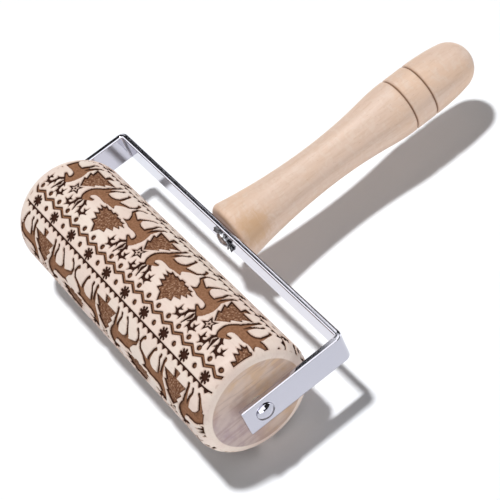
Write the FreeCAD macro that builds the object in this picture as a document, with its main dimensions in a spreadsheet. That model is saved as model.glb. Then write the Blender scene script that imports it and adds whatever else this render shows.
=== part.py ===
"""Embossing rolling pin: a wooden barrel that turns in a U-shaped steel strip with a turned handle.

X runs along the barrel's axis, Y from that axis to the handle's tip, and Z is up when the tool
lies flat. The origin is the middle of the barrel's axis. All lengths are in millimetres.
"""
import FreeCAD, Part
import os
import Sketcher

Vector = FreeCAD.Vector

# Driving dimensions: alias, value, what it is.
DIMENSIONS = [
    ("barrel_diameter", 45.0, "outside of the barrel"),
    ("barrel_length", 139.6, "end face to end face"),
    ("right_rim_round", 5.2, "rounding of the barrel's +X rim"),
    ("left_rim_round", 12.0, "rounding of the barrel's -X rim"),
    ("core_diameter", 5.8, "clearance hole right through the barrel"),
    ("bush_diameter", 6.8, "bush sleeve, a press fit in the barrel"),
    ("bush_length", 10.0, "depth of the bush in the barrel"),
    ("bush_stand_out", 1.6, "how far the bush stands out of the barrel"),
    ("running_gap", 0.3, "between the bush and the spacer washer"),
    ("washer_thickness", 0.5, "spacer washer"),
    ("washer_diameter", 10.0, "spacer washer"),
    ("rod_diameter", 5.0, "axle rod"),
    ("running_clearance", 0.05, "radial, axle rod in its bushes"),
    ("head_diameter", 7.0, "domed rivet heads"),
    ("head_height", 1.9, "domed rivet heads"),
    ("head_rim", 0.4, "straight rim under each dome"),
    ("cap_socket", 1.1, "depth of the rod in the rivet cap"),
    ("strip_width", 12.0, "steel strip"),
    ("strip_thickness", 2.3, "steel strip"),
    ("strip_edge", 0.6, "rounding of the strip's long edges"),
    ("bend_radius", 3.0, "outside of each bend"),
    ("arm_tail", 7.7, "arm's length past the barrel's axis"),
    ("frame_reach", 35.7, "barrel's axis to the back of the crossbar"),
    ("handle_length", 115.0, "base to tip"),
    ("base_radius", 12.5, "handle at the crossbar"),
    ("base_round", 2.8, "rounding of the handle's base"),
    ("waist_radius", 8.5, "handle's thinnest place"),
    ("waist_height", 43.4, "waist above the base"),
    ("swell_height", 69.8, "where the hollow curve turns into the swell"),
    ("grip_radius", 11.1, "band between the grooves"),
    ("groove_one", 81.2, "first groove above the base"),
    ("groove_two", 90.7, "second groove above the base"),
    ("groove_width", 1.5, "mouth of each burnt groove"),
    ("groove_depth", 0.75, "each burnt groove"),
    ("nose_radius", 9.9, "rounded tip"),
    ("screw_diameter", 4.0, "handle screw's shank"),
    ("screw_length", 27.0, "screw beyond the crossbar's inner face"),
    ("screw_point", 3.0, "length of the screw's point"),
    ("screw_head_diameter", 6.8, "pan head"),
    ("screw_head_height", 1.7, "pan head"),
    ("screw_head_rim", 0.5, "straight side of the pan head"),
    ("recess_span", 3.6, "cross recess, tip to tip"),
    ("recess_slot", 0.9, "cross recess, width of a slot"),
    ("recess_depth", 1.0, "cross recess"),
    ("lock_thickness", 0.6, "toothed washer"),
    ("lock_ring_diameter", 7.6, "toothed washer's solid ring"),
    ("lock_diameter", 11.2, "toothed washer over the teeth"),
    ("lock_tooth_width", 1.5, "one tooth, at its root"),
    ("lock_tooth_tip", 0.7, "one tooth, at its tip"),
    ("lock_tooth_root", 0.4, "how far a tooth starts inside the ring"),
    ("lock_tooth_count", 10, "teeth on the washer"),
    ("hole_clearance", 0.1, "radial, rod and screw in the strip and washers"),
]

# Places along X and Y that several pieces share, written in the sheet's names.
BARREL_END = "dims.barrel_length / 2"
ARM_INSIDE = ("(dims.barrel_length / 2 + dims.bush_stand_out + dims.running_gap"
              " + dims.washer_thickness)")
ARM_OUTSIDE = "(%s + dims.strip_thickness)" % ARM_INSIDE
CROSSBAR_BACK = "dims.frame_reach"
CROSSBAR_FRONT = "(dims.frame_reach - dims.strip_thickness)"
WASHER_FRONT = "(%s - dims.lock_thickness)" % CROSSBAR_FRONT
ROD_RADIUS = "dims.rod_diameter / 2"


def make_sheet(doc):
    """Put the driving dimensions in a spreadsheet, one row each."""
    sheet = doc.addObject("Spreadsheet::Sheet", "dims")
    for row, (alias, size, note) in enumerate(DIMENSIONS, start=1):
        sheet.set("A%d" % row, alias)
        sheet.set("B%d" % row, str(size))
        sheet.set("C%d" % row, note)
        sheet.setAlias("B%d" % row, alias)
    doc.recompute()
    return sheet


def origin_feature(body, role):
    """Find one of the body's own origin planes or axes."""
    return next(item for item in body.Origin.OriginFeatures if item.Role == role)


def new_body(doc, label):
    body = doc.addObject("PartDesign::Body", label)
    body.Label = label
    body.Placement = FreeCAD.Placement()
    return body


def new_sketch(body, name, plane="XY_Plane", offset=None):
    """Attach a sketch to an origin plane; offset moves it along the plane's normal."""
    sketch = body.newObject("Sketcher::SketchObject", name)
    sketch.AttachmentSupport = [(origin_feature(body, plane), "")]
    sketch.MapMode = "FlatFace"
    if offset:
        sketch.setExpression("AttachmentOffset.Base.z", offset)
    return sketch


def tie(sketch, kind, reference, expression):
    """Add one dimension and bind it to the sheet."""
    size = float(sketch.evalExpression(expression))
    index = sketch.addConstraint(Sketcher.Constraint(kind, *reference, size))
    sketch.setExpression("Constraints[%d]" % index, expression)


def tie_point(sketch, geometry, point, across, up):
    """Tie a point to the sheet; a coordinate of None is left free and "0" puts it on the axis."""
    for kind, axis, expression in (("DistanceX", -2, across), ("DistanceY", -1, up)):
        if expression == "0":
            sketch.addConstraint(Sketcher.Constraint("PointOnObject", geometry, point, axis))
        elif expression is not None:
            tie(sketch, kind, (-1, 1, geometry, point), expression)


def value(sketch, expression):
    return float(sketch.evalExpression(expression))


def arc_through(start, end, centre):
    """The shorter arc from start to end about the centre."""
    radius = (start - centre).Length
    middle = centre + ((start - centre) + (end - centre)).normalize() * radius
    return Part.Arc(start, middle, end)


def nearest_end(sketch, geometry, place):
    """Which end of an edge, 1 or 2, lies at the place."""
    return min((1, 2), key=lambda end: (sketch.getPoint(geometry, end) - place).Length)


def draw_outline(sketch, corners, arcs=None):
    """Draw a closed outline through corners that are given as pairs of sheet expressions.

    arcs maps the number of the corner where an arc starts to one known coordinate of the arc's
    centre, as ("x", expression) or ("y", expression). The two fixed ends give the rest.
    """
    arcs = arcs or {}
    places = [Vector(value(sketch, across), value(sketch, up), 0) for across, up in corners]
    edges = []
    for index, start in enumerate(places):
        end = places[(index + 1) % len(places)]
        if index in arcs:
            centre = centre_between(start, end, arcs[index][0], value(sketch, arcs[index][1]))
            edges.append(sketch.addGeometry(arc_through(start, end, centre), False))
        else:
            edges.append(sketch.addGeometry(Part.LineSegment(start, end), False))
    for index, (across, up) in enumerate(corners):
        edge, before = edges[index], edges[index - 1]
        here = nearest_end(sketch, edge, places[index])
        there = nearest_end(sketch, before, places[index])
        sketch.addConstraint(Sketcher.Constraint("Coincident", before, there, edge, here))
        tie_point(sketch, edge, here, across, up)
    for index, (axis, expression) in arcs.items():
        known = (expression, None) if axis == "x" else (None, expression)
        tie_point(sketch, edges[index], 3, *known)
    return edges


def centre_between(start, end, axis, known):
    """Centre that is equally far from both ends and has one known coordinate."""
    middle = (start + end) * 0.5
    along = end - start
    if axis == "x":
        return Vector(known, middle.y - (known - middle.x) * along.x / along.y, 0)
    return Vector(middle.x - (known - middle.y) * along.y / along.x, known, 0)


def draw_rectangle(sketch, left, bottom, right, top):
    draw_outline(sketch, [(left, bottom), (right, bottom), (right, top), (left, top)])


def draw_circle(sketch, radius):
    """Circle about the sketch's origin."""
    size = value(sketch, radius)
    circle = sketch.addGeometry(Part.Circle(Vector(), Vector(0, 0, 1), size), False)
    sketch.addConstraint(Sketcher.Constraint("Coincident", circle, 3, -1, 1))
    tie(sketch, "Radius", (circle,), radius)


def turn(body, sketch, axis):
    """Revolve a half section a full turn about a sketch axis, H_Axis or V_Axis."""
    feature = body.newObject("PartDesign::Revolution", "turned")
    feature.Profile = sketch
    feature.ReferenceAxis = (sketch, [axis])
    feature.Angle = 360
    body.Document.recompute()
    return feature


def cut(body, sketch, kind, **settings):
    """Add a Pocket or Groove and make sure that it takes material away."""
    before = body.Shape.Volume
    feature = body.newObject(kind, "cut")
    feature.Profile = sketch
    for name, setting in settings.items():
        if name == "LengthFrom":
            feature.setExpression("Length", setting)
        else:
            setattr(feature, name, setting)
    body.Document.recompute()
    if body.Shape.Volume > before - 1e-3:
        raise RuntimeError("%s: %s cuts nothing" % (body.Label, feature.Label))
    return feature


def fillet(body, chosen, radius):
    """Round the edges of the body's tip for which chosen(edge) is true."""
    tip = body.Tip
    names = ["Edge%d" % number for number, edge in enumerate(tip.Shape.Edges, start=1) if chosen(edge)]
    if not names:
        raise RuntimeError("%s: no edge to round" % body.Label)
    feature = body.newObject("PartDesign::Fillet", "rounded")
    feature.Base = (tip, names)
    feature.setExpression("Radius", radius)
    body.Document.recompute()
    return feature


def is_circle(edge, radius):
    if edge.Degenerated or not isinstance(edge.Curve, Part.Circle):
        return False
    return abs(edge.Curve.Radius - radius) < 1e-4


def make_barrel(doc, sheet):
    """Turned wooden barrel with a stepped bore for the two bushes; its left rim is rounder."""
    body = new_body(doc, "roller_barrel")
    section = new_sketch(body, "barrel_section")
    seat = "%s - dims.bush_length" % BARREL_END
    outer, socket, core = "dims.barrel_diameter / 2", "dims.bush_diameter / 2", "dims.core_diameter / 2"
    right = [(BARREL_END, outer), (BARREL_END, socket), (seat, socket), (seat, core)]
    left = [("-(%s)" % across, up) for across, up in reversed(right)]
    draw_outline(section, right + left)
    turn(body, section, "H_Axis")
    rim = sheet.barrel_diameter / 2
    fillet(body, lambda edge: is_circle(edge, rim) and edge.Curve.Center.x > 0, "dims.right_rim_round")
    fillet(body, lambda edge: is_circle(edge, rim) and edge.Curve.Center.x < 0, "dims.left_rim_round")
    return body


def make_bush(doc, label, side):
    """Plain nylon bush; side is "" for the +X end and "-" for the -X end."""
    body = new_body(doc, label)
    section = new_sketch(body, "bush_section")
    bore = "%s + dims.running_clearance" % ROD_RADIUS
    inner_end = "%s - dims.bush_length" % BARREL_END
    outer_end = "%s + dims.bush_stand_out" % BARREL_END
    outline = [
        (inner_end, bore),
        (inner_end, "dims.bush_diameter / 2"),
        (outer_end, "dims.bush_diameter / 2"),
        (outer_end, bore),
    ]
    draw_outline(section, [("%s(%s)" % (side, across), up) for across, up in outline])
    turn(body, section, "H_Axis")
    return body


def make_spacer(doc, label, side):
    """Plain washer on the rod, flat against the inside of an arm."""
    body = new_body(doc, label)
    section = new_sketch(body, "washer_section")
    near = "%s(%s - dims.washer_thickness)" % (side, ARM_INSIDE)
    far = "%s(%s)" % (side, ARM_INSIDE)
    draw_rectangle(section, near, "%s + dims.hole_clearance" % ROD_RADIUS, far, "dims.washer_diameter / 2")
    turn(body, section, "H_Axis")
    return body


def dome(start, side):
    """Outline of a domed head on the outside of an arm, from its rim to its crown on the axis."""
    rim = "%s(%s + dims.head_rim)" % (side, start)
    crown = "%s(%s + dims.head_height)" % (side, start)
    return [("%s(%s)" % (side, start), "dims.head_diameter / 2"), (rim, "dims.head_diameter / 2"),
            (crown, "0")]


def make_axle(doc):
    """Rod right through the barrel, with its formed head outside the +X arm."""
    body = new_body(doc, "axle_rod")
    section = new_sketch(body, "axle_section")
    tail = "-(%s + dims.cap_socket)" % ARM_OUTSIDE
    outline = [(tail, "0"), (tail, ROD_RADIUS), (ARM_OUTSIDE, ROD_RADIUS)] + dome(ARM_OUTSIDE, "")
    draw_outline(section, outline, {4: ("y", "0")})
    turn(body, section, "H_Axis")
    return body


def make_rivet_cap(doc):
    """Domed cap pressed over the rod's tail outside the -X arm."""
    body = new_body(doc, "axle_rivet_cap")
    section = new_sketch(body, "cap_section")
    floor = "-(%s + dims.cap_socket)" % ARM_OUTSIDE
    outline = dome(ARM_OUTSIDE, "-") + [(floor, "0"), (floor, ROD_RADIUS),
                                        ("-(%s)" % ARM_OUTSIDE, ROD_RADIUS)]
    draw_outline(section, outline, {1: ("y", "0")})
    turn(body, section, "H_Axis")
    return body


def make_frame(doc, sheet):
    """Flat steel strip bent into a U, with two rivet holes and one screw hole."""
    body = new_body(doc, "frame_bracket")
    outline = new_sketch(body, "strip_outline")
    tail = "-dims.arm_tail"
    right = [(ARM_OUTSIDE, CROSSBAR_BACK), (ARM_OUTSIDE, tail), (ARM_INSIDE, tail),
             (ARM_INSIDE, CROSSBAR_FRONT)]
    left = [("-(%s)" % across, up) for across, up in reversed(right)]
    draw_outline(outline, right + left)
    strip = body.newObject("PartDesign::Pad", "strip")
    strip.Profile = outline
    strip.SideType = "Symmetric"
    strip.setExpression("Length", "dims.strip_width")
    doc.recompute()

    def along_z(edge):
        return edge.BoundBox.ZLength > 1 and edge.BoundBox.XLength < 1e-6

    def at_corner(edge, front):
        line = sheet.frame_reach - (sheet.strip_thickness if front else 0)
        return along_z(edge) and abs(edge.CenterOfMass.y - line) < 1e-6

    fillet(body, lambda edge: at_corner(edge, False), "dims.bend_radius")
    fillet(body, lambda edge: at_corner(edge, True), "dims.bend_radius - dims.strip_thickness")
    half = sheet.strip_width / 2
    fillet(body, lambda edge: edge.BoundBox.ZLength < 1e-6 and abs(abs(edge.CenterOfMass.z) - half) < 1e-6,
           "dims.strip_edge")
    rivet_holes = new_sketch(body, "rivet_holes", "YZ_Plane")
    draw_circle(rivet_holes, "%s + dims.hole_clearance" % ROD_RADIUS)
    cut(body, rivet_holes, "PartDesign::Pocket", Type="ThroughAll", SideType="Symmetric")
    screw_hole = new_sketch(body, "screw_hole", "XZ_Plane")
    draw_circle(screw_hole, "dims.screw_diameter / 2 + dims.hole_clearance")
    cut(body, screw_hole, "PartDesign::Pocket", Type="ThroughAll", SideType="Symmetric")
    return body


def above_base(height):
    """A height on the handle, counted from the back of the crossbar."""
    return "%s + %s" % (CROSSBAR_BACK, height)


def make_handle(doc, sheet):
    """Turned handle: flared base, waist, grooved swell and rounded tip."""
    body = new_body(doc, "handle")
    profile = new_sketch(body, "handle_profile")
    draw_handle_profile(profile)
    turn(body, profile, "V_Axis")
    base = sheet.base_radius
    fillet(body, lambda edge: is_circle(edge, base), "dims.base_round")

    # Each V is drawn from one depth below the band to one depth above it, and twice as wide there,
    # so that it is groove_width across at the band's surface.
    grooves = new_sketch(body, "burnt_grooves")
    for place in ("dims.groove_one", "dims.groove_two"):
        mouth = "dims.grip_radius + dims.groove_depth"
        draw_outline(grooves, [
            ("dims.grip_radius - dims.groove_depth", above_base(place)),
            (mouth, above_base(place) + " - dims.groove_width"),
            (mouth, above_base(place) + " + dims.groove_width"),
        ])
    cut(body, grooves, "PartDesign::Groove", ReferenceAxis=(grooves, ["V_Axis"]), Angle=360)

    pilot = new_sketch(body, "pilot_hole")
    edge, point = "dims.screw_diameter / 2", "(%s + dims.screw_length)" % CROSSBAR_FRONT
    shoulder = "%s - dims.screw_point" % point
    draw_outline(pilot, [("0", CROSSBAR_BACK), (edge, CROSSBAR_BACK), (edge, shoulder), ("0", point)])
    cut(body, pilot, "PartDesign::Groove", ReferenceAxis=(pilot, ["V_Axis"]), Angle=360)
    return body


def draw_handle_profile(sketch):
    """Half section of the handle about the V axis, in tangent arcs and one straight band."""
    base = CROSSBAR_BACK
    waist = above_base("dims.waist_height")
    swell = above_base("dims.swell_height")
    band_low = above_base("dims.groove_one - dims.groove_width / 2")
    band_high = above_base("dims.groove_two + dims.groove_width / 2")
    tip = above_base("dims.handle_length")
    thin, grip, nose = "dims.waist_radius", "dims.grip_radius", "dims.nose_radius"

    def place(across, up):
        return Vector(value(sketch, across), value(sketch, up), 0)

    # Starting places for the two points that the tangencies settle: halfway out between the waist
    # and the grip, and 65 degrees round the nose from the tip.
    hollow_end = place("(%s + %s) / 2" % (thin, grip), swell)
    nose_start = place("%s * sin(65 deg)" % nose, "%s - %s * (1 - cos(65 deg))" % (tip, nose))
    foot, corner, middle = place("0", base), place("dims.base_radius", base), place(thin, waist)
    low, high, top = place(grip, band_low), place(grip, band_high), place("0", tip)

    def add_line(start, end):
        return sketch.addGeometry(Part.LineSegment(start, end), False)

    def add_arc(start, end, axis, known):
        centre = centre_between(start, end, axis, value(sketch, known))
        return sketch.addGeometry(arc_through(start, end, centre), False)

    def join(kind, first, second, where):
        ends = (first, nearest_end(sketch, first, where), second, nearest_end(sketch, second, where))
        sketch.addConstraint(Sketcher.Constraint(kind, *ends))

    bottom = add_line(foot, corner)
    flare = add_arc(corner, middle, "y", waist)
    hollow = add_arc(middle, hollow_end, "y", waist)
    shoulder = add_arc(hollow_end, low, "y", band_low)
    band = add_line(low, high)
    taper = add_arc(high, nose_start, "y", band_high)
    cap = add_arc(nose_start, top, "x", "0")
    spine = add_line(top, foot)

    join("Coincident", bottom, flare, corner)
    join("Coincident", flare, hollow, middle)
    join("Tangent", hollow, shoulder, hollow_end)
    join("Coincident", shoulder, band, low)
    join("Coincident", band, taper, high)
    join("Tangent", taper, cap, nose_start)
    join("Coincident", cap, spine, top)
    join("Coincident", spine, bottom, foot)

    tie_point(sketch, bottom, nearest_end(sketch, bottom, foot), "0", base)
    tie_point(sketch, bottom, nearest_end(sketch, bottom, corner), "dims.base_radius", base)
    tie_point(sketch, flare, nearest_end(sketch, flare, middle), thin, waist)
    tie_point(sketch, hollow, nearest_end(sketch, hollow, hollow_end), None, swell)
    tie_point(sketch, band, nearest_end(sketch, band, low), grip, band_low)
    tie_point(sketch, band, nearest_end(sketch, band, high), grip, band_high)
    tie_point(sketch, spine, nearest_end(sketch, spine, top), "0", tip)
    for arc, height in ((flare, waist), (hollow, waist), (shoulder, band_low), (taper, band_high)):
        tie_point(sketch, arc, 3, None, height)
    tie_point(sketch, cap, 3, "0", None)
    tie(sketch, "Radius", (cap,), nose)


def make_screw(doc):
    """Pan-head wood screw with a cross recess; its head faces the barrel."""
    body = new_body(doc, "handle_screw")
    section = new_sketch(body, "screw_section")
    shank, head = "dims.screw_diameter / 2", "dims.screw_head_diameter / 2"
    point = "(%s + dims.screw_length)" % CROSSBAR_FRONT
    rim = "%s - dims.screw_head_rim" % WASHER_FRONT
    crown = "%s - dims.screw_head_height" % WASHER_FRONT
    outline = [("0", point), (shank, "%s - dims.screw_point" % point), (shank, WASHER_FRONT),
               (head, WASHER_FRONT), (head, rim), ("0", crown)]
    draw_outline(section, outline, {4: ("x", "0")})
    turn(body, section, "V_Axis")

    recess = new_sketch(body, "cross_recess", "XZ_Plane", "-(%s)" % crown)
    arm, slot = "dims.recess_span / 2", "dims.recess_slot / 2"
    quarter = [(arm, slot), (slot, slot), (slot, arm)]
    corners = []
    for flip_x, flip_z, step in (("", "", 1), ("-", "", -1), ("-", "-", 1), ("", "-", -1)):
        corners += [(flip_x + x, flip_z + z) for x, z in quarter[::step]]
    draw_outline(recess, corners)
    cut(body, recess, "PartDesign::Pocket", LengthFrom="dims.recess_depth")
    return body


def make_lock_washer(doc, sheet):
    """Flat ring with teeth round its rim, clamped under the screw's head."""
    body = new_body(doc, "lock_washer")
    ring = new_sketch(body, "ring", "XZ_Plane", "-(%s)" % CROSSBAR_FRONT)
    draw_circle(ring, "dims.lock_ring_diameter / 2")
    draw_circle(ring, "dims.screw_diameter / 2 + dims.hole_clearance")
    disc = body.newObject("PartDesign::Pad", "disc")
    disc.Profile = ring
    disc.setExpression("Length", "dims.lock_thickness")
    tooth = new_sketch(body, "tooth", "XZ_Plane", "-(%s)" % CROSSBAR_FRONT)
    root, tip = "dims.lock_tooth_width / 2", "dims.lock_tooth_tip / 2"
    inner, outer = "dims.lock_ring_diameter / 2 - dims.lock_tooth_root", "dims.lock_diameter / 2"
    draw_outline(tooth, [("-" + root, inner), (root, inner), (tip, outer), ("-" + tip, outer)])
    point = body.newObject("PartDesign::Pad", "point")
    point.Profile = tooth
    point.setExpression("Length", "dims.lock_thickness")
    doc.recompute()
    pattern = body.newObject("PartDesign::PolarPattern", "teeth")
    pattern.Originals = [point]
    pattern.Axis = (tooth, ["N_Axis"])
    pattern.Angle = 360
    pattern.Occurrences = int(sheet.lock_tooth_count)
    pattern.setExpression("Occurrences", "dims.lock_tooth_count")
    body.Tip = pattern
    doc.recompute()
    return body


def check(doc, bodies):
    """Stop if any object failed or any sub-part isn't one valid solid."""
    for item in doc.Objects:
        if {"Invalid", "Error"} & set(item.State):
            raise RuntimeError("%s failed: %s" % (item.Label, item.State))
    for body in bodies:
        shape = body.Shape
        if shape.isNull() or not shape.isValid() or len(shape.Solids) != 1:
            raise RuntimeError("%s isn't one valid solid" % body.Label)


def main():
    doc = FreeCAD.newDocument("embossing_rolling_pin")
    sheet = make_sheet(doc)
    bodies = [
        make_barrel(doc, sheet),
        make_bush(doc, "bush_right", ""),
        make_bush(doc, "bush_left", "-"),
        make_spacer(doc, "washer_right", ""),
        make_spacer(doc, "washer_left", "-"),
        make_axle(doc),
        make_rivet_cap(doc),
        make_frame(doc, sheet),
        make_handle(doc, sheet),
        make_screw(doc),
        make_lock_washer(doc, sheet),
    ]
    doc.recompute()
    check(doc, bodies)
    os.makedirs("parts", exist_ok=True)
    for body in bodies:
        body.Shape.exportStep("parts/%s.step" % body.Label)
        box = body.Shape.optimalBoundingBox()
        print("%-16s %9.1f mm3  x %.2f..%.2f  y %.2f..%.2f  z %.2f..%.2f" % (
            body.Label, body.Shape.Volume, box.XMin, box.XMax, box.YMin, box.YMax, box.ZMin, box.ZMax))


main()
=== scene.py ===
"""Looks of the embossing rolling pin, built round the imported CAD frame.

X runs along the barrel, Y from the barrel to the handle's tip, and Z is up. Lengths below are in
millimetres; the mesh, shader and stage helpers turn them into metres.
"""
import math

import bmesh
import bpy
import numpy as np
from mathutils import Matrix, Vector


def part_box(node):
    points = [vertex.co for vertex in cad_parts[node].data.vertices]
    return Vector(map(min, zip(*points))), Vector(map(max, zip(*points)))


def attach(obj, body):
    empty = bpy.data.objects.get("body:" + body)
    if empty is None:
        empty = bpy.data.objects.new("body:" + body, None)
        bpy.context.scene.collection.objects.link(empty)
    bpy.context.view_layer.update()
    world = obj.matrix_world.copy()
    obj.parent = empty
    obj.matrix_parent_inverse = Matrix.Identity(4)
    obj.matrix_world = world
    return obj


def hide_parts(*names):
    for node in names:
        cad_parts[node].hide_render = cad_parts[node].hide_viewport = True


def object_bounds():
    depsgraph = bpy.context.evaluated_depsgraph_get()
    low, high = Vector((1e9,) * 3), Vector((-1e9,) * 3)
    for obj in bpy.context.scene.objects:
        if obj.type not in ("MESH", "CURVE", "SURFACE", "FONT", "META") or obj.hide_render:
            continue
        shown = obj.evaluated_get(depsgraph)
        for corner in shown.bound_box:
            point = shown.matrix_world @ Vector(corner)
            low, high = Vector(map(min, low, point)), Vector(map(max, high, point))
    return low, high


MM = 0.001

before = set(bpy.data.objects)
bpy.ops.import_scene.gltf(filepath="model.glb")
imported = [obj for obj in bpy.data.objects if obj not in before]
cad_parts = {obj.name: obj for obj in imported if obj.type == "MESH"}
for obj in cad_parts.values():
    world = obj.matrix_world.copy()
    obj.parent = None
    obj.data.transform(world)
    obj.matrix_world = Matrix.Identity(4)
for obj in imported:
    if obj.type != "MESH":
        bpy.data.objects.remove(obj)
cad_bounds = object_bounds()


def node_box(name):
    """Lowest and highest corner of a CAD node in millimetres."""
    low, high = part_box(name)
    return Vector(low) / MM, Vector(high) / MM


# ------------------------------------------------------------------ sizes, most taken from the frame

barrel_high = node_box("roller_barrel")[1]
BARREL_RADIUS = barrel_high.z
BARREL_END = barrel_high.x
RIGHT_ROUND = 5.2
LEFT_ROUND = 12.0
SOCKET_RADIUS = 3.4
SOCKET_DEPTH = 10.0
FACING_END = (0.9925, 0.9985)
CORE_RADIUS = 2.9

strip_low, strip_high = node_box("frame_bracket")
ARM_OUTSIDE = strip_high.x
ARM_TAIL = strip_low.y
CROSSBAR_BACK = strip_high.y
STRIP_HALF_WIDTH = strip_high.z
STRIP_THICKNESS = 2.3
STRIP_EDGE = 0.6
STRIP_END_BEVEL = 0.15
BEND_RADIUS = 3.0
CROSSBAR_FRONT = CROSSBAR_BACK - STRIP_THICKNESS

rod_low, rod_high = node_box("axle_rod")
ROD_RADIUS = 2.5
HEAD_RADIUS = rod_high.z
HEAD_CROWN = rod_high.x
HEAD_RIM = 0.4
HEAD_EDGE = 0.15
RIVET_STEPS = 128
HOLE_CLEARANCE = 0.1

HANDLE_TIP = node_box("handle")[1].y
BASE_RADIUS = 12.5
BASE_ROUND = 2.8
WAIST_RADIUS = 8.5
WAIST_HEIGHT = 43.4
SWELL_HEIGHT = 69.8
GRIP_RADIUS = 11.1
GROOVES = (81.2, 90.7)
GROOVE_WIDTH = 1.5
GROOVE_DEPTH = 0.75
GROOVE_CHAR_REACH = 0.60
# Painted contact shade at the handle's foot fades out over this height.
FOOT_SHADE_REACH = 1.3
NOSE_RADIUS = 9.9

screw_low, screw_high = node_box("handle_screw")
SCREW_RADIUS = 2.0
SCREW_HEAD_RADIUS = screw_high.x
SCREW_HEAD_RIM = 0.5
SCREW_POINT = 3.0
RECESS_SPAN = 3.6
RECESS_SLOT = 0.9
RECESS_DEPTH = 1.0
RECESS_MOUTH = 1.1
RECESS_FLOOR = 0.6

lock_low, lock_high = node_box("lock_washer")
LOCK_RADIUS = lock_high.z
LOCK_RING_RADIUS = 3.8
LOCK_RING_STEP = 0.3
LOCK_TEETH = 10
LOCK_ROOT = 1.5
LOCK_TIP = 0.7
LOCK_TWIST = 0.5
LOCK_SHARP_ANGLE = 25

# ------------------------------------------------------------------ the engraved pattern
# u runs along the barrel and v round it. v is 0 on the thin line under the deer's feet and grows
# towards their antlers, then over the dots, the zigzag and the flowers to the next thin line.
# The deer and trees of each row are slipped along the barrel from those of the row before it.

ROWS = 4
ROW_HEIGHT = 2 * math.pi * BARREL_RADIUS / ROWS
FIRST_LINE = 13.3
CELL = 47.0
TREE_AT = 1.3
ROW_SLIP = 3.3
FLOWER_PITCH = 13.2
FLOWER_AT = -2.4
PATTERN_LEFT = -61.5
PATTERN_RIGHT = 69.2
GRID = 0.3
ROUND_STEPS = 480
CUT_DEPTH = 0.75
WALL_OUTER = 0.10
WALL_INNER = -0.26
FAR_FROM_CUT = 3.0


def mirrored(half, centre=0.0):
    """Close a half outline that runs from one end of the mirror line to the other."""
    right = [(centre + u, v) for u, v in half]
    left = [(centre - u, v) for u, v in reversed(half) if u > 0]
    return right + left


def curved(points, steps=5):
    """Catmull-Rom curve through a closed outline."""
    ring = np.array(points, float)
    before, after, beyond = np.roll(ring, 1, 0), np.roll(ring, -1, 0), np.roll(ring, -2, 0)
    pieces = []
    for t in np.arange(steps) / steps:
        pieces.append(0.5 * (2 * ring + (after - before) * t
                             + (2 * before - 5 * ring + 4 * after - beyond) * t ** 2
                             + (3 * ring - before - 3 * after + beyond) * t ** 3))
    return np.stack(pieces, 1).reshape(-1, 2)


def polygon_distance(u, v, points):
    """Distance to a closed outline, negative inside it."""
    nearest = np.full(u.shape, np.inf)
    inside = np.zeros(u.shape, bool)
    ring = np.array(points, float)
    for (u0, v0), (u1, v1) in zip(ring, np.roll(ring, -1, 0)):
        du, dv = u1 - u0, v1 - v0
        along = ((u - u0) * du + (v - v0) * dv) / max(du * du + dv * dv, 1e-12)
        along = np.clip(along, 0, 1)
        nearest = np.minimum(nearest, np.hypot(u - u0 - along * du, v - v0 - along * dv))
        if v0 != v1:
            crossing = u0 + (v - v0) * du / dv
            inside ^= ((v0 > v) != (v1 > v)) & (u < crossing)
    return np.where(inside, -nearest, nearest)


def stroke_distance(u, v, points):
    """Distance to a tapered stroke; each point is (u, v, half width)."""
    nearest = np.full(u.shape, np.inf)
    for (u0, v0, w0), (u1, v1, w1) in zip(points, points[1:]):
        du, dv = u1 - u0, v1 - v0
        along = np.clip(((u - u0) * du + (v - v0) * dv) / (du * du + dv * dv), 0, 1)
        gap = np.hypot(u - u0 - along * du, v - v0 - along * dv) - (w0 + along * (w1 - w0))
        nearest = np.minimum(nearest, gap)
    return nearest


def union(*distances):
    """Distance to the nearest of several shapes."""
    return np.minimum.reduce(distances)


def fold(u, pitch):
    """Distance from the nearest multiple of the pitch."""
    return np.abs((u + pitch / 2) % pitch - pitch / 2)


def large_tree(u, v):
    """Fir with three tiers and a short flared foot."""
    half = [(0.0, 2.6), (1.8, 2.7), (0.8, 5.4), (7.0, 5.3), (4.4, 8.9), (5.8, 9.2),
            (3.0, 12.4), (4.0, 12.9), (0.0, 17.0)]
    return polygon_distance(u, v, mirrored(half))


def small_tree(u, v):
    """Spiky fir halfway between two large ones and further up."""
    half = [(0.0, 14.2), (1.2, 14.3), (1.4, 15.1), (3.6, 14.7), (4.2, 15.3), (6.9, 14.8), (6.4, 15.8),
            (9.0, 16.4), (6.2, 17.2), (8.3, 18.1), (5.3, 18.9), (7.0, 20.3), (3.9, 21.1),
            (4.9, 22.9), (2.1, 23.4), (0.0, 26.4)]
    return polygon_distance(u, v, mirrored(half, CELL / 2))


def star(u, v):
    """Five-pointed star above the large tree: a bold outline round a small solid star."""
    height, outer, inner, hollow, heart = 19.0, 3.5, 1.5, 0.52, 0.26
    corners = []
    for point in range(10):
        reach = inner if point % 2 else outer
        turn = math.pi * point / 5
        corners.append((reach * math.sin(turn), reach * math.cos(turn)))
    corners = np.array(corners)
    solid = polygon_distance(u, v - height, corners)
    hole = polygon_distance(u, v - height, corners * hollow)
    middle = polygon_distance(u, v - height, corners * heart)
    return union(np.maximum(solid, -hole), middle)


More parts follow.
